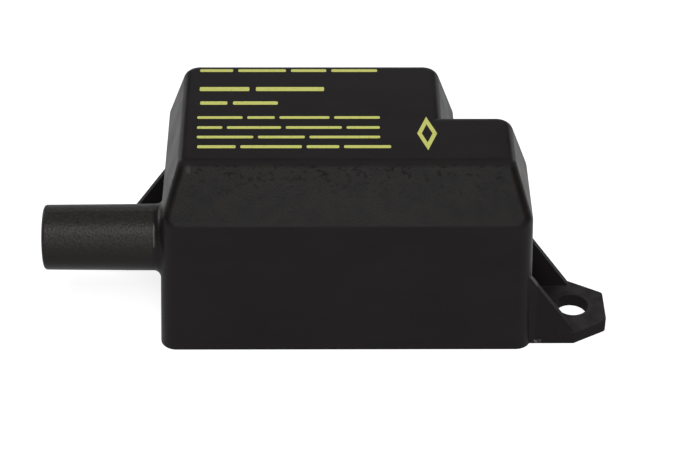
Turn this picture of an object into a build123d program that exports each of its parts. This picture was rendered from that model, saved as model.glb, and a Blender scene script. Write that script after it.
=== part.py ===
"""Ignition transformer for a gas or oil burner: a black moulded housing with a
high-voltage output socket on its left, two screw ears and a mains inlet in the
cut-away rear corner, filled from its open underside with potting resin.

Millimetres, +Z up. The origin is the middle between the two screw holes, on
the plane that the housing stands on. +X runs along the housing, away from the
output socket, and -Y is its sloped front.
"""
import os
from math import radians, sqrt, tan

from build123d import *

# Housing
length = 80.0               # along X, at the base
depth = 46.8                # along Y, at the base
height = 43.5
shoulder_height = 32.5      # where the walls turn into the bevels
wall_draft = 2.2            # degrees
side_bevel_run = 4.0        # how far the side bevels lean in up to the top
front_slope_run = 8.4       # the same for the front slope
notch_length = 14.9         # the cut-away rear right corner, at the base
notch_depth = 19.3
wall = 2.0
corner_radius = 3.5         # of the upright corners
slope_radius = 2.0          # of the edges round the front slope
shoulder_radius = 1.0       # where the side walls turn into the bevels
rim_radius = 2.0            # round the top

# Ribs inside the walls, whose lower ends the circuit board is pushed up to
board_rib_width = 1.6
board_rib_depth = 1.6
board_rib_length = 14.0

# High-voltage output socket
socket_front_gap = 10.0     # from the base's front face to its axis
socket_height = 23.1        # its axis above the base
socket_length = 24.0        # from the base line of the left wall
socket_end_radius = 6.9
socket_root_radius = 7.1
socket_edge_radius = 0.7
socket_root_fillet = 1.5
mouth_bore_radius = 4.25    # takes the boot of the ignition lead
mouth_bore_length = 12.0
mouth_chamfer = 0.5
lead_bore_radius = 3.6      # takes the lead itself, pushed over the spike
contact_seat_radius = 3.4   # boss inside the wall that the contact bears on
contact_seat = 1.2

# Screw ears, one on each end, diagonal to each other
ear_front_gap = 1.9         # from the base's front face to the right ear
ear_back_gap = 2.8          # from its back face to the left one
ear_width = 17.2
ear_length = 16.5
ear_shoulder = 9.2          # its straight stretch, as long as the ribs
ear_tip_width = 9.0
ear_thickness = 3.2
ear_corner_radius = 1.0
rib_thickness = 1.8
rib_height = 16.6           # above the base, at the wall's foot line
hole_radius = 3.5
hole_wall_gap = 9.5         # from the base's right face to the hole's centre
hole_front_gap = 11.0       # from the base's front face to the hole's centre

# Potting resin and circuit board
resin_recess = 1.0          # below the housing's rim
board_thickness = 1.6
board_height = 5.0          # its underside above the base
board_clearance = 0.5       # to the housing's inner walls
pin_width = 0.8
pin_length = 2.6            # below a component, through the board

# Ignition coil: ferrite U cores with square legs, axis along Y
leg_width = 8.0
yoke_thickness = 6.0
core_gap = 0.6              # filled by the spacers between the two halves
core_wall_gap = 1.5         # from the yokes to the housing
coil_gap = 0.8              # from the secondary bobbin to the return leg
coil_wall_gap = 1.8         # from the secondary bobbin to the housing
coil_board_gap = 1.4        # from the secondary bobbin to the board
bobbin_wall = 1.0
primary_flange = 1.0
primary_flange_rise = 0.9   # above the primary winding
primary_layer = 1.5
secondary_end_gap = 2.0     # from its bobbin's end to that of the primary bobbin
secondary_flange = 0.8
secondary_sections = 6
secondary_layer = 2.8
secondary_flange_rise = 1.5  # above the secondary winding
lead_width = 0.8            # of the square terminal pins and the output lead
lead_gap = 0.3              # a lead's end, filled with solder

# Output contact
spike_radius = 1.5
spike_length = 7.0
spike_point = 2.5
contact_flange_radius = 2.4
contact_flange = 1.0

# Components on the board
storage_height = 19.5
suppression_width = 7.5
suppression_height = 13.5
thyristor_size = (10.0, 4.4, 9.2)
thyristor_standoff = 3.0
thyristor_tab = 6.3
thyristor_tab_thickness = 1.3
thyristor_pin_pitch = 2.54
fuse_size = (8.5, 4.2, 8.0)
varistor_radius = 4.5
varistor_thickness = 4.0
varistor_standoff = 1.0
radial_pin_pitch = 5.0
resistor_radius = 2.2
resistor_length = 10.0
diode_radius = 1.35
diode_length = 5.2
trigger_radius = 1.8
trigger_length = 7.0
axial_standoff = 0.6
axial_lead = 1.2            # from an axial component's end to its bent lead
component_gap = 1.2

# Mains inlet: a three-way header in the notch
inlet_pitch = 5.0
inlet_side = 1.8            # from the outer blades' middle to the pocket's sides
inlet_wall = 1.0
inlet_pocket_height = 9.0
inlet_pocket_depth = 10.0
inlet_floor = 2.0
inlet_rise = 0.4            # how far it stands out of the housing
blade_thickness = 0.8
blade_width = 4.8
blade_recess = 2.0          # its tip behind the inlet's mouth
blade_chamfer = 0.8
blade_tail = 1.5            # behind the inlet's floor

# Worked out from the sizes above
slant = tan(radians(wall_draft))
left, right = -length / 2, length / 2
front = (ear_back_gap - ear_front_gap - depth) / 2
back = front + depth
notch_x = right - notch_length
notch_y = back - notch_depth
bevel_height = height - shoulder_height
slope_back = front + shoulder_height * slant + front_slope_run
ear_root = right - 0.9 * wall   # inside the wall, past its rounded corner
board_top = board_height + board_thickness

hole_x = right + hole_wall_gap
hole_y = front + hole_front_gap

socket_y = front + socket_front_gap
socket_end = left - socket_length
socket_axis = Axis((0, socket_y, socket_height), (1, 0, 0))
socket_plane = Plane((0, socket_y, socket_height), x_dir=(1, 0, 0), z_dir=(0, -1, 0))
seat_x = left + wall + contact_seat

# The coil's pieces from the inside out, as half widths
primary_tube = leg_width / 2 + bobbin_wall
primary_outside = primary_tube + primary_layer
secondary_tube = primary_outside + bobbin_wall
secondary_outside = secondary_tube + secondary_layer
secondary_rim = secondary_outside + secondary_flange_rise
coil_z = board_top + coil_board_gap + secondary_rim
coil_x = left + wall + (coil_z + secondary_rim) * slant + coil_wall_gap + secondary_rim
return_leg_x = coil_x + secondary_rim + coil_gap + leg_width / 2
core_right = return_leg_x + leg_width / 2
core_back = min(back, -front) - wall - (coil_z + leg_width / 2) * slant - core_wall_gap
primary_bobbin_length = 2 * (core_back - yoke_thickness)
secondary_bobbin_length = primary_bobbin_length - 2 * secondary_end_gap
section_pitch = (secondary_bobbin_length - secondary_flange) / secondary_sections
coil_plane = Plane((coil_x, 0, coil_z), x_dir=(1, 0, 0), z_dir=(0, 1, 0))


def block(right_wall, back_wall, inset):
    """A drafted box with bevelled sides and a sloped front, its faces moved in by inset."""
    shoulder = inset + shoulder_height * slant
    with BuildPart() as box:
        with BuildSketch():
            with Locations(((left + right_wall) / 2, (front + back_wall) / 2)):
                Rectangle(right_wall - left - 2 * inset, back_wall - front - 2 * inset)
        extrude(amount=height, taper=wall_draft)
        split(bisect_by=Plane.XY.offset(height - inset), keep=Keep.BOTTOM)
        left_bevel = Plane(
            (left + shoulder, 0, shoulder_height), x_dir=(0, 1, 0), z_dir=(-bevel_height, 0, side_bevel_run)
        )
        right_bevel = Plane(
            (right_wall - shoulder, 0, shoulder_height),
            x_dir=(0, 1, 0),
            z_dir=(bevel_height, 0, side_bevel_run),
        )
        front_slope = Plane(
            (0, front + shoulder, shoulder_height), x_dir=(1, 0, 0), z_dir=(0, -bevel_height, front_slope_run)
        )
        for face in (left_bevel, right_bevel, front_slope):
            split(bisect_by=face, keep=Keep.BOTTOM)
    return box.part


def housing_form(inset):
    """The L-shaped outer form of the housing, or with an inset that of its cavity."""
    with BuildPart() as whole:
        add(block(right, notch_y, inset))
        add(block(notch_x, back, inset))
    return whole.part


def is_upright(edge):
    """Whether an edge leads up, apart from those in the notch's inner corner and beside the slope."""
    start, end = edge @ 0, edge @ 1
    in_corner = min(abs(spot.X - notch_x) + abs(spot.Y - notch_y) for spot in (start, end)) < 2 * wall
    return abs(end.Z - start.Z) > 0.01 and not in_corner and not is_at_slope(edge)


def is_at_slope(edge):
    """Whether an edge bounds the front slope below or at its sides."""
    middle = edge.center()
    return shoulder_height - 0.1 < middle.Z < height - 0.1 and middle.Y < slope_back


def is_at_shoulder(edge):
    """Whether an edge lies between a side wall and its bevel."""
    return abs(edge.center().Z - shoulder_height) < 0.1 and not is_at_slope(edge)


def is_at_rim(edge):
    """Whether an edge bounds the top."""
    return edge.center().Z > height - 0.1


def ear():
    """The right screw ear: a flat plate with a hole between two gusset ribs."""
    near = front + ear_front_gap
    middle = near + ear_width / 2
    toe, tip = right + ear_shoulder, right + ear_length
    rib_top = rib_height + (rib_height - ear_thickness) * (right - ear_root) / ear_shoulder
    with BuildPart() as lug:
        with BuildSketch():
            with BuildLine():
                Polyline(
                    (ear_root, near),
                    (toe, near),
                    (tip, middle - ear_tip_width / 2),
                    (tip, middle + ear_tip_width / 2),
                    (toe, near + ear_width),
                    (ear_root, near + ear_width),
                    close=True,
                )
            make_face()
            fillet(vertices().filter_by_position(Axis.X, toe, tip), ear_corner_radius)
        extrude(amount=ear_thickness)
        for start in (near, near + ear_width - rib_thickness):
            with BuildSketch(Plane.XZ.offset(-start)):
                with BuildLine():
                    Polyline((ear_root, 0), (toe, 0), (toe, ear_thickness), (ear_root, rib_top), close=True)
                make_face()
            extrude(amount=-rib_thickness)
        with Locations((hole_x, hole_y)):
            Hole(hole_radius)
    return lug.part


def collar(outer, inner, start, thickness):
    """A square ring of a bobbin round the coil's axis, from start along it."""
    with BuildPart() as ring:
        with BuildSketch(coil_plane.offset(start)):
            Rectangle(2 * outer, 2 * outer)
            Rectangle(2 * inner, 2 * inner, mode=Mode.SUBTRACT)
        extrude(amount=thickness)
    return ring.part


def turns(inner, layer, start, thickness):
    """A winding round a square bobbin, its corners cut so that it is as thick there as on its sides."""
    with BuildPart() as winding:
        with BuildSketch(coil_plane.offset(start)):
            Rectangle(2 * (inner + layer), 2 * (inner + layer))
            chamfer(vertices(), layer * (2 - sqrt(2)))
            Rectangle(2 * inner, 2 * inner, mode=Mode.SUBTRACT)
        extrude(amount=thickness)
    return winding.part


def core_half(side):
    """One ferrite U core: a yoke with two legs, on the side +1 or -1 of the middle."""
    yoke_start = primary_bobbin_length / 2
    with BuildPart() as half:
        with BuildSketch(Plane.XZ.offset(-side * yoke_start)):
            with Locations(((coil_x + return_leg_x) / 2, coil_z)):
                Rectangle(return_leg_x - coil_x + leg_width, leg_width)
        extrude(amount=-side * yoke_thickness)
        with BuildSketch(Plane.XZ.offset(-side * core_gap / 2)):
            with Locations((coil_x, coil_z), (return_leg_x, coil_z)):
                Rectangle(leg_width, leg_width)
        extrude(amount=-side * (yoke_start - core_gap / 2))
    return half.part


def pins(places, standoff=0.0):
    """Square lead pins through the board, from standoff above it."""
    with BuildPart() as leads:
        with BuildSketch(Plane.XY.offset(board_top + standoff)):
            with Locations(*places):
                Rectangle(pin_width, pin_width)
        extrude(amount=-pin_length - standoff)
    return leads.part


def box_capacitor(size, x, y, turn=0):
    """A film capacitor in a moulded box on the board, its length turned from X by so many degrees."""
    reach = size[0] / 2 - 2 * pin_width
    with BuildPart() as capacitor:
        with BuildSketch(Plane.XY.offset(board_top)):
            Rectangle(size[0], size[1])
        extrude(amount=size[2])
        add(pins([(-reach, 0), (reach, 0)]))
    return capacitor.part.moved(Location((x, y, 0), (0, 0, turn)))


def axial_component(radius, body_length, x, y):
    """A round component that lies along Y on its two bent leads."""
    z = board_top + axial_standoff + radius
    reach = body_length / 2 + axial_lead
    with BuildPart() as component:
        with BuildSketch(Plane.XZ.offset(-y - body_length / 2)):
            with Locations((x, z)):
                Circle(radius)
        extrude(amount=body_length)
        with BuildSketch(Plane.XZ.offset(-y - reach - pin_width / 2)):
            with Locations((x, z)):
                Rectangle(pin_width, pin_width)
        extrude(amount=2 * reach + pin_width)
        add(pins([(x, y - reach), (x, y + reach)], standoff=z - board_top))
    return component.part


def blade(y):
    """An inlet blade with its solder tail bent down behind the header."""
    with BuildPart() as tab:
        with BuildSketch(Plane.XZ.offset(-y - blade_thickness / 2)):
            with BuildLine():
                Polyline(
                    (tab_tip, inlet_z - blade_width / 2),
                    (tab_tip, inlet_z + blade_width / 2),
                    (header_back - blade_tail, inlet_z + blade_width / 2),
                    (header_back - blade_tail, board_top - pin_length),
                    (header_back - blade_tail + pin_width, board_top - pin_length),
                    (header_back - blade_tail + pin_width, inlet_z - blade_width / 2),
                    close=True,
                )
            make_face()
            chamfer(vertices().group_by(Axis.X)[-1], blade_chamfer)
        extrude(amount=blade_thickness)
    return tab.part


os.makedirs("parts", exist_ok=True)

# Mains inlet: the header stands on the board and fills a window in the notch's wall
header_mouth = notch_x - board_top * slant + inlet_rise
header_floor = header_mouth - inlet_pocket_depth
header_back = header_floor - inlet_floor
header_top = board_top + inlet_pocket_height + 2 * inlet_wall
pocket_width = 2 * (inlet_pitch + inlet_side)
header_y = back - wall - header_top * slant - board_clearance / 2 - inlet_wall - pocket_width / 2
inlet_z = board_top + inlet_wall + inlet_pocket_height / 2
tab_tip = header_mouth - blade_recess

with BuildPart() as earth_blade:
    add(blade(header_y))
earth_blade.part.label = "earth_blade"

with BuildPart() as neutral_blade:
    add(blade(header_y + inlet_pitch))
neutral_blade.part.label = "neutral_blade"

with BuildPart() as live_blade:
    add(blade(header_y - inlet_pitch))
live_blade.part.label = "live_blade"

with BuildPart() as inlet_header:
    with BuildSketch(Plane.YZ.offset(header_back)):
        with Locations((header_y, inlet_z)):
            Rectangle(pocket_width + 2 * inlet_wall, inlet_pocket_height + 2 * inlet_wall)
    extrude(amount=header_mouth - header_back)
    with BuildSketch(Plane.YZ.offset(header_mouth)):
        with Locations((header_y, inlet_z)):
            Rectangle(pocket_width, inlet_pocket_height)
    extrude(amount=-inlet_pocket_depth, mode=Mode.SUBTRACT)
    for tab in (earth_blade, neutral_blade, live_blade):
        add(tab.part, mode=Mode.SUBTRACT)
inlet_header.part.label = "inlet_header"

# Housing
with BuildPart() as board_ribs:
    reach = wall + board_rib_depth
    side_ribs = [
        (left, -2 * board_rib_width), (left, back / 2 + board_rib_width), (right, -2 * board_rib_width),
    ]
    end_ribs = [(core_right + 2 * component_gap, back), (core_right + 5 * component_gap, front)]
    with BuildSketch(Plane.XY.offset(board_top)):
        with Locations(*side_ribs):
            Rectangle(2 * reach + 2 * board_top * slant, board_rib_width)
        with Locations(*end_ribs):
            Rectangle(board_rib_width, 2 * reach + 2 * board_top * slant)
    extrude(amount=board_rib_length)
    add(housing_form(wall / 2), mode=Mode.INTERSECT)

with BuildPart() as housing:
    add(housing_form(0))
    fillet(housing.edges().filter_by(is_upright), corner_radius)
    fillet(housing.edges().filter_by(is_at_slope), slope_radius)
    fillet(housing.edges().filter_by(is_at_shoulder), shoulder_radius)
    fillet(housing.edges().filter_by(is_at_rim), rim_radius)
    with BuildSketch(socket_plane):
        root = left + wall / 2 + (socket_height + socket_root_radius) * slant
        with BuildLine():
            Polyline(
                (root, 0),
                (socket_end, 0),
                (socket_end, socket_end_radius),
                (root, socket_root_radius),
                close=True,
            )
        make_face()
        fillet(vertices().group_by(Axis.X)[0].sort_by(Axis.Y)[-1], socket_edge_radius)
    revolve(axis=socket_axis)
    socket_side = faces().filter_by(GeomType.CONE).sort_by(Axis.X)[0]
    fillet(socket_side.edges().filter_by_position(Axis.X, left, left + wall), socket_root_fillet)
    add(housing_form(wall), mode=Mode.SUBTRACT)
    add(board_ribs.part)
    add(ear())
    add(ear(), rotation=(0, 0, 180))
    with BuildSketch(Plane.YZ.offset(left + wall / 2)):
        with Locations((socket_y, socket_height)):
            Circle(contact_seat_radius)
    extrude(amount=seat_x - left - wall / 2)
    with BuildSketch(socket_plane):
        with BuildLine():
            Polyline(
                (socket_end, 0),
                (socket_end, mouth_bore_radius + mouth_chamfer),
                (socket_end + mouth_chamfer, mouth_bore_radius),
                (socket_end + mouth_bore_length, mouth_bore_radius),
                (socket_end + mouth_bore_length, lead_bore_radius),
                (left, lead_bore_radius),
                (left, spike_radius),
                (seat_x, spike_radius),
                (seat_x, 0),
                close=True,
            )
        make_face()
    revolve(axis=socket_axis, mode=Mode.SUBTRACT)
    with BuildSketch(Plane.YZ.offset(header_floor)):
        with Locations((header_y, inlet_z)):
            Rectangle(pocket_width + 2 * inlet_wall, inlet_pocket_height + 2 * inlet_wall)
    extrude(amount=header_mouth - header_floor, mode=Mode.SUBTRACT)
housing.part.label = "housing"

# High-voltage contact: a pointed spike that the lead is pushed over
with BuildPart() as output_contact:
    with BuildSketch(socket_plane):
        with BuildLine():
            Polyline(
                (left - spike_length, 0),
                (left - spike_length + spike_point, spike_radius),
                (seat_x, spike_radius),
                (seat_x, contact_flange_radius),
                (seat_x + contact_flange, contact_flange_radius),
                (seat_x + contact_flange, 0),
                close=True,
            )
        make_face()
    revolve(axis=socket_axis)
output_contact.part.label = "output_contact"

# Ignition coil
with BuildPart() as core_rear:
    add(core_half(1))
core_rear.part.label = "core_rear"

with BuildPart() as core_front:
    add(core_half(-1))
core_front.part.label = "core_front"

with BuildPart() as core_spacers:
    with BuildSketch(Plane.XZ.offset(-core_gap / 2)):
        with Locations((coil_x, coil_z), (return_leg_x, coil_z)):
            Rectangle(leg_width, leg_width)
    extrude(amount=core_gap)
core_spacers.part.label = "core_spacers"

with BuildPart() as primary_bobbin:
    end = primary_bobbin_length / 2
    add(collar(primary_tube, leg_width / 2, -end, primary_bobbin_length))
    for start in (-end, end - primary_flange):
        add(collar(primary_outside + primary_flange_rise, leg_width / 2, start, primary_flange))
primary_bobbin.part.label = "primary_bobbin"

with BuildPart() as primary_winding:
    span = primary_bobbin_length - 2 * primary_flange
    add(turns(primary_tube, primary_layer, -span / 2, span))
primary_winding.part.label = "primary_winding"

with BuildPart() as secondary_bobbin:
    start = -secondary_bobbin_length / 2
    add(collar(secondary_tube, primary_outside, start, secondary_bobbin_length))
    for section in range(secondary_sections + 1):
        add(collar(secondary_rim, primary_outside, start + section * section_pitch, secondary_flange))
secondary_bobbin.part.label = "secondary_bobbin"

with BuildPart() as secondary_winding:
    for section in range(secondary_sections):
        section_start = start + section * section_pitch + secondary_flange
        add(turns(secondary_tube, secondary_layer, section_start, section_pitch - secondary_flange))
secondary_winding.part.label = "secondary_winding"

# Leads of the coil
end_section = secondary_bobbin_length / 2 - section_pitch / 2 - secondary_flange / 2
lead_x = seat_x + contact_flange / 2
lead_start = socket_y + contact_flange_radius + lead_gap
touch_x = coil_x - secondary_outside - lead_gap

with BuildPart() as output_lead:
    with BuildLine() as route:
        Polyline(
            (lead_x, lead_start, socket_height),
            (lead_x, -end_section, socket_height),
            (touch_x, -end_section, socket_height),
        )
    with BuildSketch(Plane((lead_x, lead_start, socket_height), z_dir=(0, 1, 0))):
        Rectangle(lead_width, lead_width)
    sweep(path=route.line, transition=Transition.RIGHT)
output_lead.part.label = "output_lead"

with BuildPart() as return_lead:
    with BuildSketch(Plane.XY.offset(board_top)):
        with Locations((coil_x, end_section)):
            Rectangle(lead_width, lead_width)
    extrude(amount=coil_z - secondary_outside - lead_gap - board_top)
return_lead.part.label = "return_lead"

with BuildPart() as primary_leads:
    lead_y = secondary_bobbin_length / 2 + (primary_bobbin_length - secondary_bobbin_length) / 4
    lead_y -= primary_flange / 2
    with BuildSketch(Plane.XY.offset(board_top)):
        with Locations((coil_x, lead_y), (coil_x, -lead_y)):
            Rectangle(lead_width, lead_width)
    extrude(amount=coil_z - primary_outside - lead_gap - board_top)
primary_leads.part.label = "primary_leads"

# Components on the board, from the front and right walls and from the back wall
row_x = core_right + component_gap
near_y = front + wall + (board_top + storage_height) * slant + component_gap
far_y = back - wall - board_rib_depth - board_top * slant - component_gap

resistor_y = near_y + resistor_length / 2 + axial_lead
with BuildPart() as charging_resistor:
    add(axial_component(resistor_radius, resistor_length, row_x + resistor_radius, resistor_y))
charging_resistor.part.label = "charging_resistor"

fuse_x = right - wall - (board_top + fuse_size[2]) * slant - component_gap - fuse_size[0] / 2
fuse_y = near_y + fuse_size[1] / 2
with BuildPart() as fuse:
    with BuildSketch(Plane.XY.offset(board_top)):
        with Locations((fuse_x, fuse_y)):
            Rectangle(fuse_size[0], fuse_size[1])
    extrude(amount=fuse_size[2])
    add(pins([(fuse_x - radial_pin_pitch / 2, fuse_y), (fuse_x + radial_pin_pitch / 2, fuse_y)]))
fuse.part.label = "fuse"

# The thyristor stands between the storage capacitor and the notch's wall
tab_bottom = board_top + thyristor_standoff + thyristor_size[2]
thyristor_x = fuse_x - fuse_size[0] / 2 - component_gap - thyristor_size[0] / 2
notch_wall_y = notch_y - wall - (tab_bottom + thyristor_tab) * slant
thyristor_y = notch_wall_y - component_gap - thyristor_size[1] / 2
with BuildPart() as thyristor:
    with BuildSketch(Plane.XY.offset(board_top + thyristor_standoff)):
        with Locations((thyristor_x, thyristor_y)):
            Rectangle(thyristor_size[0], thyristor_size[1])
    extrude(amount=thyristor_size[2])
    with BuildSketch(Plane.XZ.offset(-thyristor_y - thyristor_size[1] / 2)):
        with Locations((thyristor_x, tab_bottom + thyristor_tab / 2)):
            Rectangle(thyristor_size[0], thyristor_tab)
    extrude(amount=thyristor_tab_thickness)
    lead_places = [(thyristor_x + way * thyristor_pin_pitch, thyristor_y) for way in (-1, 0, 1)]
    add(pins(lead_places, standoff=thyristor_standoff))
thyristor.part.label = "thyristor"

storage_left = row_x + 2 * resistor_radius + component_gap
storage_right = fuse_x - fuse_size[0] / 2 - component_gap
storage_back = thyristor_y - thyristor_size[1] / 2 - component_gap
storage_size = (storage_right - storage_left, storage_back - near_y, storage_height)
with BuildPart() as storage_capacitor:
    add(box_capacitor(storage_size, (storage_left + storage_right) / 2, (near_y + storage_back) / 2))
storage_capacitor.part.label = "storage_capacitor"

varistor_x = row_x + varistor_radius
varistor_y = far_y - varistor_thickness / 2
with BuildPart() as varistor:
    with BuildSketch(Plane.XZ.offset(-varistor_y - varistor_thickness / 2)):
        with Locations((varistor_x, board_top + varistor_standoff + varistor_radius)):
            Circle(varistor_radius)
    extrude(amount=varistor_thickness)
    spread = radial_pin_pitch / 2
    add(
        pins(
            [(varistor_x - spread, varistor_y), (varistor_x + spread, varistor_y)],
            standoff=varistor_standoff + varistor_radius / 2,
        )
    )
varistor.part.label = "varistor"

resistor_back = resistor_y + resistor_length / 2 + axial_lead
suppression_front = max(resistor_back, storage_back) + component_gap
suppression_back = varistor_y - varistor_thickness / 2 - component_gap
suppression_size = (suppression_back - suppression_front, suppression_width, suppression_height)
suppression_x = row_x + suppression_width / 2
with BuildPart() as suppression_capacitor:
    add(box_capacitor(suppression_size, suppression_x, (suppression_front + suppression_back) / 2, turn=90))
suppression_capacitor.part.label = "suppression_capacitor"

diode_y = -diode_length / 2 - axial_lead - 2 * component_gap
with BuildPart() as rectifier_diodes:
    for side in (-1, 1):
        diode_x = return_leg_x + side * (diode_radius + component_gap)
        add(axial_component(diode_radius, diode_length, diode_x, diode_y))
rectifier_diodes.part.label = "rectifier_diodes"

with BuildPart() as trigger_diode:
    trigger_y = trigger_length / 2 + axial_lead + component_gap
    add(axial_component(trigger_radius, trigger_length, return_leg_x, trigger_y))
trigger_diode.part.label = "trigger_diode"

on_board = [
    earth_blade, neutral_blade, live_blade, charging_resistor, storage_capacitor, suppression_capacitor,
    thyristor, fuse, varistor, rectifier_diodes, trigger_diode,
]
in_coil = [
    core_rear, core_front, core_spacers, primary_bobbin, primary_winding, secondary_bobbin,
    secondary_winding, output_lead, return_lead, primary_leads, output_contact,
]

# Circuit board, in the outline of the cavity
with BuildPart() as circuit_board:
    add(housing_form(wall + board_clearance))
    split(bisect_by=Plane.XY.offset(board_height), keep=Keep.TOP)
    split(bisect_by=Plane.XY.offset(board_top), keep=Keep.BOTTOM)
    for component in on_board:
        add(component.part, mode=Mode.SUBTRACT)
circuit_board.part.label = "circuit_board"

# Resin that fills the housing round all of them
with BuildPart() as potting_resin:
    add(housing_form(wall))
    split(bisect_by=Plane.XY.offset(resin_recess), keep=Keep.TOP)
    add(board_ribs.part, mode=Mode.SUBTRACT)
    with BuildSketch(Plane.YZ.offset(left)):
        with Locations((socket_y, socket_height)):
            Circle(contact_seat_radius)
    extrude(amount=seat_x - left, mode=Mode.SUBTRACT)
    with BuildSketch(Plane.YZ.offset(header_back)):
        with Locations((header_y, inlet_z)):
            Rectangle(pocket_width + 2 * inlet_wall, inlet_pocket_height + 2 * inlet_wall)
    extrude(amount=header_mouth - header_back, mode=Mode.SUBTRACT)
    for piece in on_board + in_coil + [circuit_board]:
        add(piece.part, mode=Mode.SUBTRACT)
potting_resin.part.label = "potting_resin"

for piece in [housing, potting_resin, circuit_board, inlet_header] + on_board + in_coil:
    export_step(piece.part, f"parts/{piece.part.label}.step")
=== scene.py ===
"""Looks of the ignition transformer: a black moulded housing with a yellow print on its top.

Metres, +Z up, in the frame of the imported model: the origin is the middle between the two screw
holes, +X runs along the housing away from the output socket, and -Y is its sloped front.
"""
from math import cos, radians, sin

import bpy
from mathutils import Matrix, Vector


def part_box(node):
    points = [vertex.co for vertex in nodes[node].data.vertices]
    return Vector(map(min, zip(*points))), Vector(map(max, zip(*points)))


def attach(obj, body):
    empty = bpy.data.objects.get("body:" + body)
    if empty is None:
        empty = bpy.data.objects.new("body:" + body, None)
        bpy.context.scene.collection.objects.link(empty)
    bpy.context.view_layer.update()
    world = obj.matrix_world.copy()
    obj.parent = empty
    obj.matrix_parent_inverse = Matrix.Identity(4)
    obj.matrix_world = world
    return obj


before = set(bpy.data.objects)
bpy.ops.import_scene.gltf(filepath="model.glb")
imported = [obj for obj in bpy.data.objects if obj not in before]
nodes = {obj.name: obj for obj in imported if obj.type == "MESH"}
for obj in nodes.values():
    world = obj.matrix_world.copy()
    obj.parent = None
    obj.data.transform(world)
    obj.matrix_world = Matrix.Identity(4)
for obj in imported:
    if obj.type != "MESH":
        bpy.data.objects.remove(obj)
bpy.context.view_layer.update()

MM = 0.001

# Places on the housing: its end walls at the base, the slope's lower edge and where it meets the
# top, the output socket's axis, and the right ear's front and upper face
housing_low, housing_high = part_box("housing")
left_wall = housing_low.x + 24.0 * MM
right_wall = housing_high.x - 16.5 * MM
shoulder_z = housing_low.z + 32.5 * MM
top_z = housing_high.z
slope_back = housing_low.y + 9.65 * MM
socket_y = housing_low.y + 10.0 * MM
socket_z = housing_low.z + 23.1 * MM
ear_front = housing_low.y + 1.9 * MM
ear_top = housing_low.z + 3.2 * MM
board_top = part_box("circuit_board")[1].z

# Camera, from edges measured in the photo; its lens and sensor are in mm
CAMERA_PLACE = Vector((-0.00637, -0.37683, 0.31586))
CAMERA_LOOK = Vector((0.01275, 0.7813, -0.62402))
CAMERA_ROLL = radians(0.526)
CAMERA_LENS = 114.85
CAMERA_SENSOR = 36.0

# The floor lies a hair below the base, so that the two never share a plane
FLOOR_GAP = -0.02 * MM
FLOOR_SIZE = 8.0

# Light of the surroundings, where 1 is white: the paper's own light as the camera and as gloss see it,
# the ceiling's as gloss sees it, and the room's light on the object
PAPER_SEEN = 0.8
PAPER_MIRRORED = 0.42
CEILING_MIRRORED = 0.05
ROOM_LIGHT = 0.35
# How steeply up, where 1 is straight up, the pale horizon ends and the dark ceiling starts
HORIZON_TOP, CEILING_START = 0.02, 0.3

LAMP_DISTANCE = 1.1
LAMP_TARGET = Vector((0, 0, 0.02))

# Colour sockets of a Mix node, which shares their names with its other sockets
MIX_FACTOR, MIX_LOW, MIX_HIGH, MIX_COLOUR = 0, 6, 7, 2

# Width over which a sharp limit between two finishes still fades
SHARP_FADE = 0.05 * MM

# A wave texture of scale 1 has bands this far apart, in metres
WAVE_SPACING = 0.314


def linear(code):
    """The linear colour of an sRGB hex value."""
    channels = [int(code[start:start + 2], 16) / 255 for start in (1, 3, 5)]
    return [c / 12.92 if c <= 0.04045 else ((c + 0.055) / 1.055) ** 2.4 for c in channels] + [1.0]


def add_node(tree, kind, inputs=None, **settings):
    """Add a node with its settings; inputs gives its sockets values or links."""
    node = tree.nodes.new(kind)
    for name, value in settings.items():
        setattr(node, name, value)
    for name, value in (inputs or {}).items():
        if isinstance(value, bpy.types.NodeSocket):
            tree.links.new(value, node.inputs[name])
        else:
            node.inputs[name].default_value = value
    return node


def new_material(name, inputs):
    """A material with a Principled shader, its node tree and the shader."""
    material = bpy.data.materials.new(name)
    material.use_nodes = True
    tree = material.node_tree
    tree.nodes.clear()
    shader = add_node(tree, "ShaderNodeBsdfPrincipled", inputs)
    add_node(tree, "ShaderNodeOutputMaterial", {"Surface": shader.outputs["BSDF"]})
    return material, tree, shader


def weighed(tree, *terms):
    """The sum of terms, each a row of values that are multiplied."""
    products = []
    for product, *factors in terms:
        for factor in factors:
            product = add_node(
                tree, "ShaderNodeMath", {0: product, 1: factor}, operation="MULTIPLY"
            ).outputs["Value"]
        products.append(product)
    total, *others = products
    for product in others:
        total = add_node(tree, "ShaderNodeMath", {0: total, 1: product}, operation="ADD").outputs["Value"]
    return total


def strongest(tree, *values):
    """The largest of several values at each point."""
    largest, *others = values
    for value in others:
        largest = add_node(
            tree, "ShaderNodeMath", {0: largest, 1: value}, operation="MAXIMUM"
        ).outputs["Value"]
    return largest


def layered(tree, base, *layers):
    """A base colour under layers, each the share of it that shows and its own colour.

    A colour is an sRGB hex value or a socket."""
    colour = linear(base) if isinstance(base, str) else base
    for share, cover in layers:
        cover = linear(cover) if isinstance(cover, str) else cover
        mix = add_node(
            tree, "ShaderNodeMix", {MIX_FACTOR: share, MIX_LOW: colour, MIX_HIGH: cover}, data_type="RGBA"
        )
        colour = mix.outputs[MIX_COLOUR]
    return colour


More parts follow.
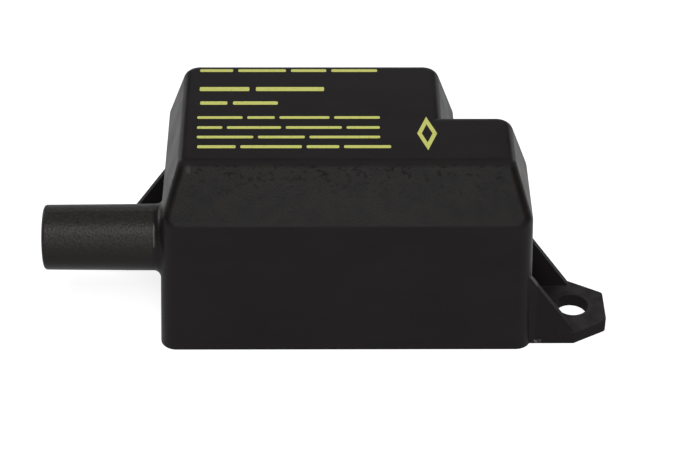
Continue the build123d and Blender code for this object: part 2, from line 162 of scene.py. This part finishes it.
def blotches(tree, size, span, stretch=(1, 1, 1), detail=2.0):
    """A value from 0 to 1 in blotches of a size in mm, over a span of the noise behind it."""
    place = add_node(tree, "ShaderNodeTexCoord").outputs["Object"]
    drawn_out = add_node(
        tree, "ShaderNodeMapping", {"Vector": place, "Scale": [1 / share for share in stretch]}
    ).outputs["Vector"]
    noise = add_node(
        tree, "ShaderNodeTexNoise", {"Vector": drawn_out, "Scale": 1 / (size * MM), "Detail": detail}
    ).outputs["Fac"]
    spread = add_node(
        tree, "ShaderNodeMapRange", {"Value": noise, "From Min": span[0], "From Max": span[1]}
    )
    return spread.outputs["Result"]


def ridges(tree, axis, spacing):
    """A value from 0 to 1 in even ridges across an axis, with a spacing in mm."""
    place = add_node(tree, "ShaderNodeTexCoord").outputs["Object"]
    wave = add_node(
        tree, "ShaderNodeTexWave", {"Vector": place, "Scale": WAVE_SPACING / (spacing * MM)},
        bands_direction=axis,
    )
    return wave.outputs["Fac"]


def zone(tree, *limits):
    """A value of 1 in one part of the object.

    Each limit is an axis, the place where the value starts to rise along it and where it is full."""
    place = add_node(tree, "ShaderNodeTexCoord").outputs["Object"]
    axes = add_node(tree, "ShaderNodeSeparateXYZ", {"Vector": place}).outputs
    rises = [
        add_node(
            tree, "ShaderNodeMapRange", {"Value": axes[axis], "From Min": start, "From Max": full}
        ).outputs["Result"]
        for axis, start, full in limits
    ]
    return weighed(tree, rises)


def zones(tree, parts):
    """A value of 1 in several parts of the object, each a list of limits."""
    return strongest(tree, *[zone(tree, *limits) for limits in parts])


def band(axis, start, end, fade):
    """The two limits of a band along an axis, which fades outside it."""
    return (axis, start - fade, start), (axis, end + fade, end)


def settle(tree, shader, colour, roughness, relief, depth, edge=0.0):
    """Link a colour, a roughness and a relief to a shader; no roughness keeps the shader's own.

    The relief's depth and the radius that edges seem rounded to are in mm."""
    tree.links.new(colour, shader.inputs["Base Color"])
    if roughness is not None:
        tree.links.new(roughness, shader.inputs["Roughness"])
    bump = add_node(tree, "ShaderNodeBump", {"Height": relief, "Distance": depth * MM})
    if edge:
        rounded = add_node(tree, "ShaderNodeBevel", {"Radius": edge * MM}, samples=6)
        tree.links.new(rounded.outputs["Normal"], bump.inputs["Normal"])
    tree.links.new(bump.outputs["Normal"], shader.inputs["Normal"])


def eroded_slope(tree):
    """The slope, from a spark-eroded tool face: faint warm clouds, small dark pits that fade downwards,
    and a scuff in its upper left corner. Gives where the slope is, its colour and its pits."""
    place = zone(
        tree, ("Z", shoulder_z, shoulder_z + 1.0 * MM), ("Y", slope_back, slope_back - 1.0 * MM)
    )
    upper_part = zone(tree, ("Z", shoulder_z + 3.0 * MM, top_z))
    clouds = blotches(tree, size=3.0, span=(0.35, 0.65), detail=4.0)
    spots = blotches(tree, size=0.8, span=(0.56, 0.64), stretch=(1.4, 1, 1))
    pits = weighed(tree, (spots, place, upper_part))
    scuff = zone(
        tree, *band("X", left_wall + 6.8 * MM, left_wall + 7.5 * MM, fade=0.2 * MM),
        *band("Z", top_z - 1.9 * MM, top_z - 0.9 * MM, fade=0.3 * MM),
    )
    colour = layered(tree, "#110f10", (clouds, "#181512"), (pits, "#080605"), (scuff, "#2b2827"))
    return place, colour, pits


def socket_skin(tree):
    """The output socket, from a tool insert: paler, partly for its different finish and partly as painted
    light, with a fine rough skin that is strongest on its upper side, where its pale grain is a painted
    highlight. Gives where the socket is, its colour and its relief."""
    place = zone(
        tree, ("X", left_wall, left_wall - 1.0 * MM), ("Y", socket_y + 12.95 * MM, socket_y + 9.95 * MM)
    )
    coarse_and_highlit_side = weighed(tree, (place, zone(tree, ("Z", socket_z, socket_z + 3.0 * MM))))
    grain = blotches(tree, size=0.55, span=(0.3, 0.7), detail=3.0)
    # Paler base partly stands for the lamp's light; the pale grain on the upper side is a painted highlight
    # of the lit band
    colour = layered(tree, "#201e1d", (weighed(tree, (grain, coarse_and_highlit_side)), "#2c2a29"))
    coarseness = strongest(tree, coarse_and_highlit_side, weighed(tree, (place, 0.4)))
    return place, colour, weighed(tree, (grain, coarseness))


def root_edge_highlight(tree):
    """A painted highlight: the pale line where light catches the edge that the tool's parting left, painted
    only on the upper front of the socket's root.
    """
    return zone(
        tree, *band("X", left_wall - 0.5 * MM, left_wall - 0.3 * MM, fade=0.1 * MM),
        *band("Z", socket_z + 2.8 * MM, socket_z + 5.9 * MM, fade=0.5 * MM),
        ("Y", socket_y - 0.05 * MM, socket_y - 0.55 * MM),
    )


def gate_mark(tree):
    """The torn pale spot where the nylon flowed in, low on the front of the right ear's root."""
    place = zone(
        tree, *band("X", right_wall + 0.7 * MM, right_wall + 1.9 * MM, fade=0.3 * MM),
        ("Y", ear_front + 1.05 * MM, ear_front + 0.55 * MM), ("Z", ear_top - 2.0 * MM, ear_top - 2.4 * MM),
    )
    torn = blotches(tree, size=0.6, span=(0.4, 0.55))
    return weighed(tree, (place, torn))


def past_walls(tree, start, full):
    """A value that rises past both end walls; start and full are counted outwards from them."""
    return zones(tree, [
        [("X", right_wall + start, right_wall + full)],
        [("X", left_wall - start, left_wall - full)],
    ])


def ears_painted_paler(tree):
    """The ears' upper face, painted paler in patches as painted light for the light it catches, full from
    the ribs' ends on.
    """
    face = zone(tree, *band("Z", ear_top - 0.2 * MM, ear_top + 0.1 * MM, fade=0.2 * MM))
    patches = blotches(tree, size=2.5, span=(0.3, 0.6), detail=3.0)
    painted_paleness = weighed(tree, (0.3,), (patches, 0.6))
    return weighed(tree, (past_walls(tree, 5.0 * MM, 9.0 * MM), face, painted_paleness))


def moulded_nylon():
    """Glass-filled nylon, injection moulded: warm black and satin, with faint flow marks. The slope's
    upper edge and the ears are duller than the rest."""
    material, tree, shader = new_material("moulded_black_nylon", {"IOR": 1.53, "Specular IOR Level": 0.1})
    flow = blotches(tree, size=7.0, span=(0.35, 0.65), stretch=(2.0, 1, 1), detail=3.0)
    body = layered(tree, "#171415", (flow, "#1a1718"))
    on_slope, slope, pits = eroded_slope(tree)
    on_socket, socket, rough_skin = socket_skin(tree)
    colour = layered(
        # The ears' upper face is painted paler, standing in for the light it catches
        tree, body, (on_slope, slope), (ears_painted_paler(tree), "#2c292a"), (on_socket, socket),
        # The pale line at the socket's root is a painted highlight
        (root_edge_highlight(tree), "#45423f"), (gate_mark(tree), "#666462"),
    )

    upper_edge = zone(
        tree, ("Z", top_z - 1.2 * MM, top_z - 0.6 * MM),
        ("Y", slope_back + 0.9 * MM, slope_back + 0.3 * MM),
    )
    roughness = weighed(
        tree, (0.34,), (flow, 0.08), (upper_edge, 0.32), (pits, 0.24),
        (past_walls(tree, 0.3 * MM, 0.8 * MM), 0.28), (on_socket, -0.28),
    )
    grain = blotches(tree, size=0.45, span=(0.3, 0.7))
    relief = weighed(tree, (grain, 0.3), (grain, on_slope), (pits, -0.6), (rough_skin, 3.0))
    settle(tree, shader, colour, roughness, relief, depth=0.015, edge=0.25)
    return material


def pad_print():
    """Two-part ink, pad printed: dull pale yellow, thin enough that the black shows through in spots."""
    material, tree, shader = new_material("pad_printed_yellow_ink", {"Specular IOR Level": 0.25})
    thin = blotches(tree, size=0.5, span=(0.55, 0.8))
    colour = layered(tree, "#b3b560", (thin, "#8a8c46"))
    settle(tree, shader, colour, weighed(tree, (0.5,), (thin, 0.15)), thin, depth=-0.005)
    return material


def cast_resin():
    """Filled polyurethane, poured in and cured: near black, half glossy, gently swelled, with pinholes."""
    material, tree, shader = new_material("cast_polyurethane_resin", {"IOR": 1.5, "Specular IOR Level": 0.4})
    swell = blotches(tree, size=9.0, span=(0.3, 0.7))
    colour = layered(tree, "#1c1a19", (swell, "#272423"))
    pinholes = blotches(tree, size=1.1, span=(0.72, 0.75), detail=0.0)
    relief = weighed(tree, (swell,), (pinholes, -1.0))
    settle(tree, shader, colour, weighed(tree, (0.22,), (swell, 0.12)), relief, depth=0.15)
    return material


def laminate():
    """Glass-epoxy board under green solder resist: the weave of the glass shows as a fine check."""
    material, tree, shader = new_material("glass_epoxy_laminate", {"IOR": 1.52, "Roughness": 0.3})
    thread_spacing = 0.5
    weave = weighed(tree, [ridges(tree, axis, thread_spacing) for axis in ("X", "Y")])
    colour = layered(tree, "#24401f", (weave, "#315229"))
    settle(tree, shader, colour, None, weave, depth=0.01)
    return material


def header_nylon():
    """Unfilled nylon, moulded in a polished tool: black, smoother and glossier than the housing."""
    material, tree, shader = new_material("moulded_header_nylon", {"IOR": 1.53, "Specular IOR Level": 0.35})
    flow = blotches(tree, size=3.0, span=(0.3, 0.7), stretch=(3.0, 1, 1))
    colour = layered(tree, "#1a1a1b", (flow, "#212122"))
    settle(tree, shader, colour, weighed(tree, (0.24,), (flow, 0.08)), flow, depth=0.01, edge=0.15)
    return material


def metal(name, dark, light, stretch, smoothest, roughest):
    """A drawn, stamped or turned metal: its tool marks run in the direction that stretch draws them out."""
    material, tree, shader = new_material(name, {"Metallic": 1.0})
    marks = blotches(tree, size=0.25, span=(0.3, 0.7), stretch=stretch)
    colour = layered(tree, dark, (marks, light))
    roughness = weighed(tree, (smoothest,), (marks, roughest - smoothest))
    settle(tree, shader, colour, roughness, marks, depth=0.004, edge=0.1)
    return material


def ferrite():
    """Manganese-zinc ferrite, pressed and sintered: charcoal grey, matt, finely granular like fired clay."""
    material, tree, shader = new_material("sintered_ferrite", {"Specular IOR Level": 0.4})
    grain = blotches(tree, size=0.4, span=(0.3, 0.7), detail=4.0)
    colour = layered(tree, "#35363a", (grain, "#45464a"))
    settle(tree, shader, colour, weighed(tree, (0.55,), (grain, 0.15)), grain, depth=0.02, edge=0.2)
    return material


def pressboard():
    """Pressed cellulose sheet: brownish, matt, with short fibres that lie along the sheet."""
    material, tree, shader = new_material("pressboard_sheet", {"Specular IOR Level": 0.2})
    fibres = blotches(tree, size=0.3, span=(0.35, 0.65), stretch=(4, 1, 1), detail=3.0)
    colour = layered(tree, "#a58a63", (fibres, "#c2aa82"))
    settle(tree, shader, colour, weighed(tree, (0.75,), (fibres, 0.15)), fibres, depth=0.02)
    return material


def bobbin_polyester():
    """Glass-filled polyester, injection moulded in its natural ivory: satin, with faint flow marks."""
    material, tree, shader = new_material(
        "moulded_ivory_polyester", {"IOR": 1.55, "Specular IOR Level": 0.4}
    )
    flow = blotches(tree, size=4.0, span=(0.3, 0.7), stretch=(1, 2.5, 1), detail=3.0)
    colour = layered(tree, "#cbc5b2", (flow, "#ddd8c8"))
    settle(tree, shader, colour, weighed(tree, (0.38,), (flow, 0.12)), flow, depth=0.01, edge=0.15)
    return material


def winding(name, wire):
    """Enamelled copper wire, wound in layers: one glossy red-brown ridge for each turn, its crest painted
    lighter as a painted highlight and the groove between turns darker as painted shade.

    The wire's thickness is in mm."""
    material, tree, shader = new_material(name, {"Metallic": 0.8, "IOR": 1.5})
    turn_ridges_and_shade = ridges(tree, "Y", wire)
    # Crests painted lighter and grooves between turns darker: painted highlight and painted shade
    colour = layered(tree, "#5c2412", (turn_ridges_and_shade, "#b5622f"))
    settle(tree, shader, colour, weighed(tree, (0.45,), (turn_ridges_and_shade, -0.17)), turn_ridges_and_shade, depth=wire / 4)
    return material


def component(name, dark, light, smoothest, metal_parts, grain=1.0, rings=()):
    """A component's moulded case, dipped coat or lacquer: one colour, hardly blotched, next to bright
    tinned metal. Its metal parts and dark lacquer rings are lists of zones; grain is in mm."""
    material, tree, shader = new_material(name, {"IOR": 1.5})
    tone = blotches(tree, size=grain, span=(0.35, 0.65))
    colour = layered(tree, dark, (tone, light))
    if rings:
        colour = layered(tree, colour, (zones(tree, rings), "#3a2a1c"))
    tinned = zones(tree, metal_parts)
    colour = layered(tree, colour, (tinned, "#b9b8b4"))
    tree.links.new(tinned, shader.inputs["Metallic"])
    settle(tree, shader, colour, weighed(tree, (smoothest,), (tone, 0.1)), tone, depth=0.01, edge=0.1)
    return material


def pins_below(standoff=0.0):
    """The pins of a component that stands on the board, up to a standoff in mm."""
    level = board_top + standoff * MM
    return [[("Z", level, level - SHARP_FADE)]]


def leads_beyond(name, lead):
    """The leads of components that lie along Y, past their bodies' ends; lead is in mm from the tips."""
    low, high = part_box(name)
    front, rear = low.y + lead * MM, high.y - lead * MM
    return [[("Y", front, front - SHARP_FADE)], [("Y", rear, rear + SHARP_FADE)]]


def tab_above(name, tab, standoff):
    """A metal tab of tab mm at the top of a node, and its pins."""
    tab_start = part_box(name)[1].z - tab * MM
    return [[("Z", tab_start, tab_start + SHARP_FADE)]] + pins_below(standoff)


def lacquer_rings(name, spacing, width):
    """Four rings of lacquer round a component that lies along Y, their spacing and width in mm."""
    low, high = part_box(name)
    starts = [(low.y + high.y) / 2 + (step * spacing - width / 2) * MM for step in (-1.5, -0.5, 0.5, 1.5)]
    return [band("Y", start, start + width * MM, fade=SHARP_FADE) for start in starts]


def paint(names, material):
    """Give carried-over CAD nodes one material."""
    for name in names:
        data = nodes[name].data
        data.materials.clear()
        data.materials.append(material)


def make_camera():
    """The photo's view."""
    camera = bpy.data.cameras.new("camera")
    camera.lens = CAMERA_LENS
    camera.sensor_width = CAMERA_SENSOR
    camera.sensor_fit = "HORIZONTAL"
    camera.clip_start = 0.01
    body = bpy.data.objects.new("camera", camera)
    bpy.context.scene.collection.objects.link(body)
    turn = CAMERA_LOOK.to_track_quat("-Z", "Y").to_matrix().to_4x4()
    body.matrix_world = Matrix.Translation(CAMERA_PLACE) @ turn @ Matrix.Rotation(CAMERA_ROLL, 4, "Z")
    bpy.context.scene.camera = body


def make_floor():
    """White paper sweep: its light comes from its colour, and partly from itself where it is seen."""
    bpy.ops.object.select_all(action="DESELECT")
    bpy.ops.mesh.primitive_plane_add(size=FLOOR_SIZE, location=(0, 0, FLOOR_GAP))
    floor = bpy.context.object
    floor.name = "floor"
    material = bpy.data.materials.new("white_paper_sweep")
    material.use_nodes = True
    tree = material.node_tree
    tree.nodes.clear()
    paper = add_node(tree, "ShaderNodeBsdfDiffuse", {"Color": linear("#a0a0a0")})
    glow = add_node(tree, "ShaderNodeEmission", {"Color": linear("#ffffff")})
    path = add_node(tree, "ShaderNodeLightPath")
    mirrored = strongest(tree, path.outputs["Is Glossy Ray"], path.outputs["Is Transmission Ray"])
    level = weighed(tree, (path.outputs["Is Camera Ray"], PAPER_SEEN), (mirrored, PAPER_MIRRORED))
    tree.links.new(level, glow.inputs["Strength"])
    both = add_node(tree, "ShaderNodeAddShader", {0: paper.outputs["BSDF"], 1: glow.outputs["Emission"]})
    add_node(tree, "ShaderNodeOutputMaterial", {"Surface": both.outputs["Shader"]})
    floor.data.materials.append(material)


def make_world():
    """White where it is seen, with a pale horizon and a dark ceiling that only gloss shows."""
    world = bpy.data.worlds.new("studio")
    bpy.context.scene.world = world
    world.use_nodes = True
    tree = world.node_tree
    tree.nodes.clear()
    direction = add_node(tree, "ShaderNodeTexCoord").outputs["Generated"]
    height = add_node(tree, "ShaderNodeSeparateXYZ", {"Vector": direction}).outputs["Z"]
    mirrored = add_node(
        tree, "ShaderNodeMapRange",
        {"Value": height, "From Min": HORIZON_TOP, "From Max": CEILING_START,
         "To Min": PAPER_MIRRORED, "To Max": CEILING_MIRRORED},
    ).outputs["Result"]
    path = add_node(tree, "ShaderNodeLightPath")
    level = strongest(
        tree, path.outputs["Is Camera Ray"], path.outputs["Is Transmission Ray"],
        weighed(tree, (path.outputs["Is Glossy Ray"], mirrored)),
        weighed(tree, (path.outputs["Is Diffuse Ray"], ROOM_LIGHT)),
    )
    background = add_node(tree, "ShaderNodeBackground", {"Color": linear("#ffffff"), "Strength": level})
    add_node(tree, "ShaderNodeOutputWorld", {"Surface": background.outputs["Background"]})


def make_lamp(name, rise, turn, size, power):
    """A soft lamp that faces the object.

    Its rise is measured from the floor in front, past 90 behind, its turn to the right, in degrees."""
    data = bpy.data.lights.new(name, "AREA")
    data.shape = "RECTANGLE"
    data.size, data.size_y = size
    data.energy = power
    lamp = bpy.data.objects.new(name, data)
    bpy.context.scene.collection.objects.link(lamp)
    level = LAMP_DISTANCE * cos(radians(rise))
    height = LAMP_DISTANCE * sin(radians(rise))
    way = Vector((level * sin(radians(turn)), -level * cos(radians(turn)), height))
    lamp.location = LAMP_TARGET + way
    lamp.rotation_euler = (-way).to_track_quat("-Z", "Y").to_euler()


# Rows of the print from the back to the front: y, height, and x ranges, in mm
PRINT_ROWS = (
    (19.55, 1.0, ((-31.7, -24.5), (-23.4, -13.0), (-11.9, -4.2), (-3.1, 6.9))),
    (12.55, 1.5, ((-31.5, -20.8), (-19.4, -4.7))),
    (7.35, 1.2, ((-31.2, -25.4), (-24.2, -14.6))),
    (2.05, 0.9, ((-31.6, -22.0), (-21.0, -15.2), (-14.2, -3.6), (-2.6, 7.1))),
    (-1.55, 0.9, ((-31.5, -26.2), (-25.2, -13.8), (-12.8, -1.0), (0.0, 7.0))),
    (-4.95, 0.9, ((-31.4, -19.6), (-18.6, -8.8), (-7.8, 7.0))),
    (-8.35, 1.0, ((-31.2, -23.2), (-22.2, -9.4), (-8.4, -1.6), (-0.6, 9.2))),
)
BAR_CORNER = 0.3 * MM

# The upright lozenge right of the rows
LOZENGE_MIDDLE = (16.9 * MM, -3.65 * MM)
LOZENGE_SIZE = (4.2 * MM, 11.9 * MM)
LOZENGE_LINE = 0.9 * MM

PRINT_THICKNESS = 0.02 * MM


def finish_print(piece, thickness, middle, material):
    bpy.ops.mesh.select_all(action="SELECT")
    bpy.ops.mesh.extrude_region_move(TRANSFORM_OT_translate={"value": (0, 0, thickness)})
    bpy.ops.mesh.select_all(action="SELECT")
    bpy.ops.mesh.normals_make_consistent(inside=False)
    bpy.ops.transform.translate(value=middle)
    bpy.ops.object.mode_set(mode="OBJECT")
    piece.data.materials.append(material)
    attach(piece, "root")


def rounded_bar(name, middle, size, radius, thickness, material):
    """A flat bar with round corners, standing on the plane through its middle."""
    bpy.ops.object.select_all(action="DESELECT")
    bpy.ops.mesh.primitive_plane_add(size=1.0, location=(0, 0, 0))
    bar = bpy.context.object
    bar.name = name
    bpy.ops.object.mode_set(mode="EDIT")
    bpy.ops.transform.resize(value=(size[0], size[1], 1))
    bpy.ops.mesh.bevel(offset=radius, segments=3, affect="VERTICES")
    finish_print(bar, thickness, middle, material)


def lozenge(name, middle, size, line, thickness, material):
    """A lozenge drawn as an outline, standing on the plane through its middle."""
    bpy.ops.object.select_all(action="DESELECT")
    bpy.ops.mesh.primitive_circle_add(vertices=4, radius=0.5, fill_type="NGON", location=(0, 0, 0))
    sign = bpy.context.object
    sign.name = name
    bpy.ops.object.mode_set(mode="EDIT")
    bpy.ops.transform.resize(value=(size[0], size[1], 1))
    bpy.ops.mesh.inset(thickness=line)
    bpy.ops.mesh.delete(type="FACE")
    finish_print(sign, thickness, middle, material)


bpy.context.scene.view_settings.view_transform = "Standard"
make_camera()
make_floor()
make_world()
make_lamp("front_softbox", rise=61, turn=0, size=(0.5, 0.6), power=8.6)
make_lamp("front_reflector", rise=24, turn=0, size=(0.5, 0.35), power=2.5)
make_lamp("rear_reflector", rise=158, turn=0, size=(0.5, 0.35), power=0.65)
make_lamp("left_reflector", rise=18, turn=-125, size=(0.5, 0.35), power=3.4)
make_lamp("right_reflector", rise=18, turn=125, size=(0.5, 0.35), power=3.4)

paint(["housing"], moulded_nylon())
paint(["potting_resin"], cast_resin())
paint(["circuit_board"], laminate())
paint(["inlet_header"], header_nylon())
paint(["earth_blade", "neutral_blade", "live_blade"],
      metal("stamped_brass", "#b3934a", "#c9ab62", stretch=(6, 1, 1), smoothest=0.25, roughest=0.38))
paint(["output_contact"],
      metal("turned_brass", "#b08f48", "#cdae66", stretch=(1, 12, 12), smoothest=0.18, roughest=0.3))
paint(["core_rear", "core_front"], ferrite())
paint(["core_spacers"], pressboard())
paint(["primary_bobbin", "secondary_bobbin"], bobbin_polyester())
paint(["primary_winding"], winding("primary_enamelled_wire", wire=0.5))
# The real wire is 0.08 mm, too fine to show, so its ridges are drawn 0.3 mm wide
paint(["secondary_winding"], winding("secondary_enamelled_wire", wire=0.3))
paint(["output_lead", "return_lead", "primary_leads"],
      metal("tinned_copper", "#aaa9a5", "#c8c7c2", stretch=(1, 1, 6), smoothest=0.25, roughest=0.4))
paint(["storage_capacitor"], component(
    "red_capacitor_case", "#7d2418", "#8d2c1e", smoothest=0.25, metal_parts=pins_below(), grain=3.0,
))
paint(["suppression_capacitor"], component(
    "yellow_capacitor_case", "#b79a2f", "#c6a93b", smoothest=0.25, metal_parts=pins_below(), grain=3.0,
))
paint(["varistor"], component(
    "dipped_blue_epoxy", "#1f4a86", "#2a5a9a", smoothest=0.15,
    metal_parts=pins_below(standoff=1.0), grain=2.0,
))
paint(["fuse"], component(
    "moulded_fuse_cap", "#1d1d1e", "#272728", smoothest=0.35, metal_parts=pins_below(),
))
paint(["thyristor"], component(
    "moulded_epoxy_with_tab", "#1b1b1d", "#252527", smoothest=0.4,
    metal_parts=tab_above("thyristor", tab=6.3, standoff=3.0),
))
paint(["rectifier_diodes"], component(
    "moulded_diode_epoxy", "#19191b", "#222224", smoothest=0.35,
    metal_parts=leads_beyond("rectifier_diodes", lead=1.6),
))
paint(["trigger_diode"], component(
    "moulded_trigger_epoxy", "#202024", "#2b2b30", smoothest=0.35,
    metal_parts=leads_beyond("trigger_diode", lead=1.6),
))
paint(["charging_resistor"], component(
    "grey_green_lacquer", "#7f8a72", "#8d987f", smoothest=0.4,
    metal_parts=leads_beyond("charging_resistor", lead=1.6),
    rings=lacquer_rings("charging_resistor", spacing=1.9, width=0.7),
))

ink = pad_print()
for row, (y, height, words) in enumerate(PRINT_ROWS, 1):
    for word, (left, right) in enumerate(words, 1):
        middle = ((left + right) / 2 * MM, y * MM, top_z)
        size = ((right - left) * MM, height * MM)
        rounded_bar(f"print_row_{row}_bar_{word}", middle, size, BAR_CORNER, PRINT_THICKNESS, ink)
lozenge("print_sign", (*LOZENGE_MIDDLE, top_z), LOZENGE_SIZE, LOZENGE_LINE, PRINT_THICKNESS, ink)
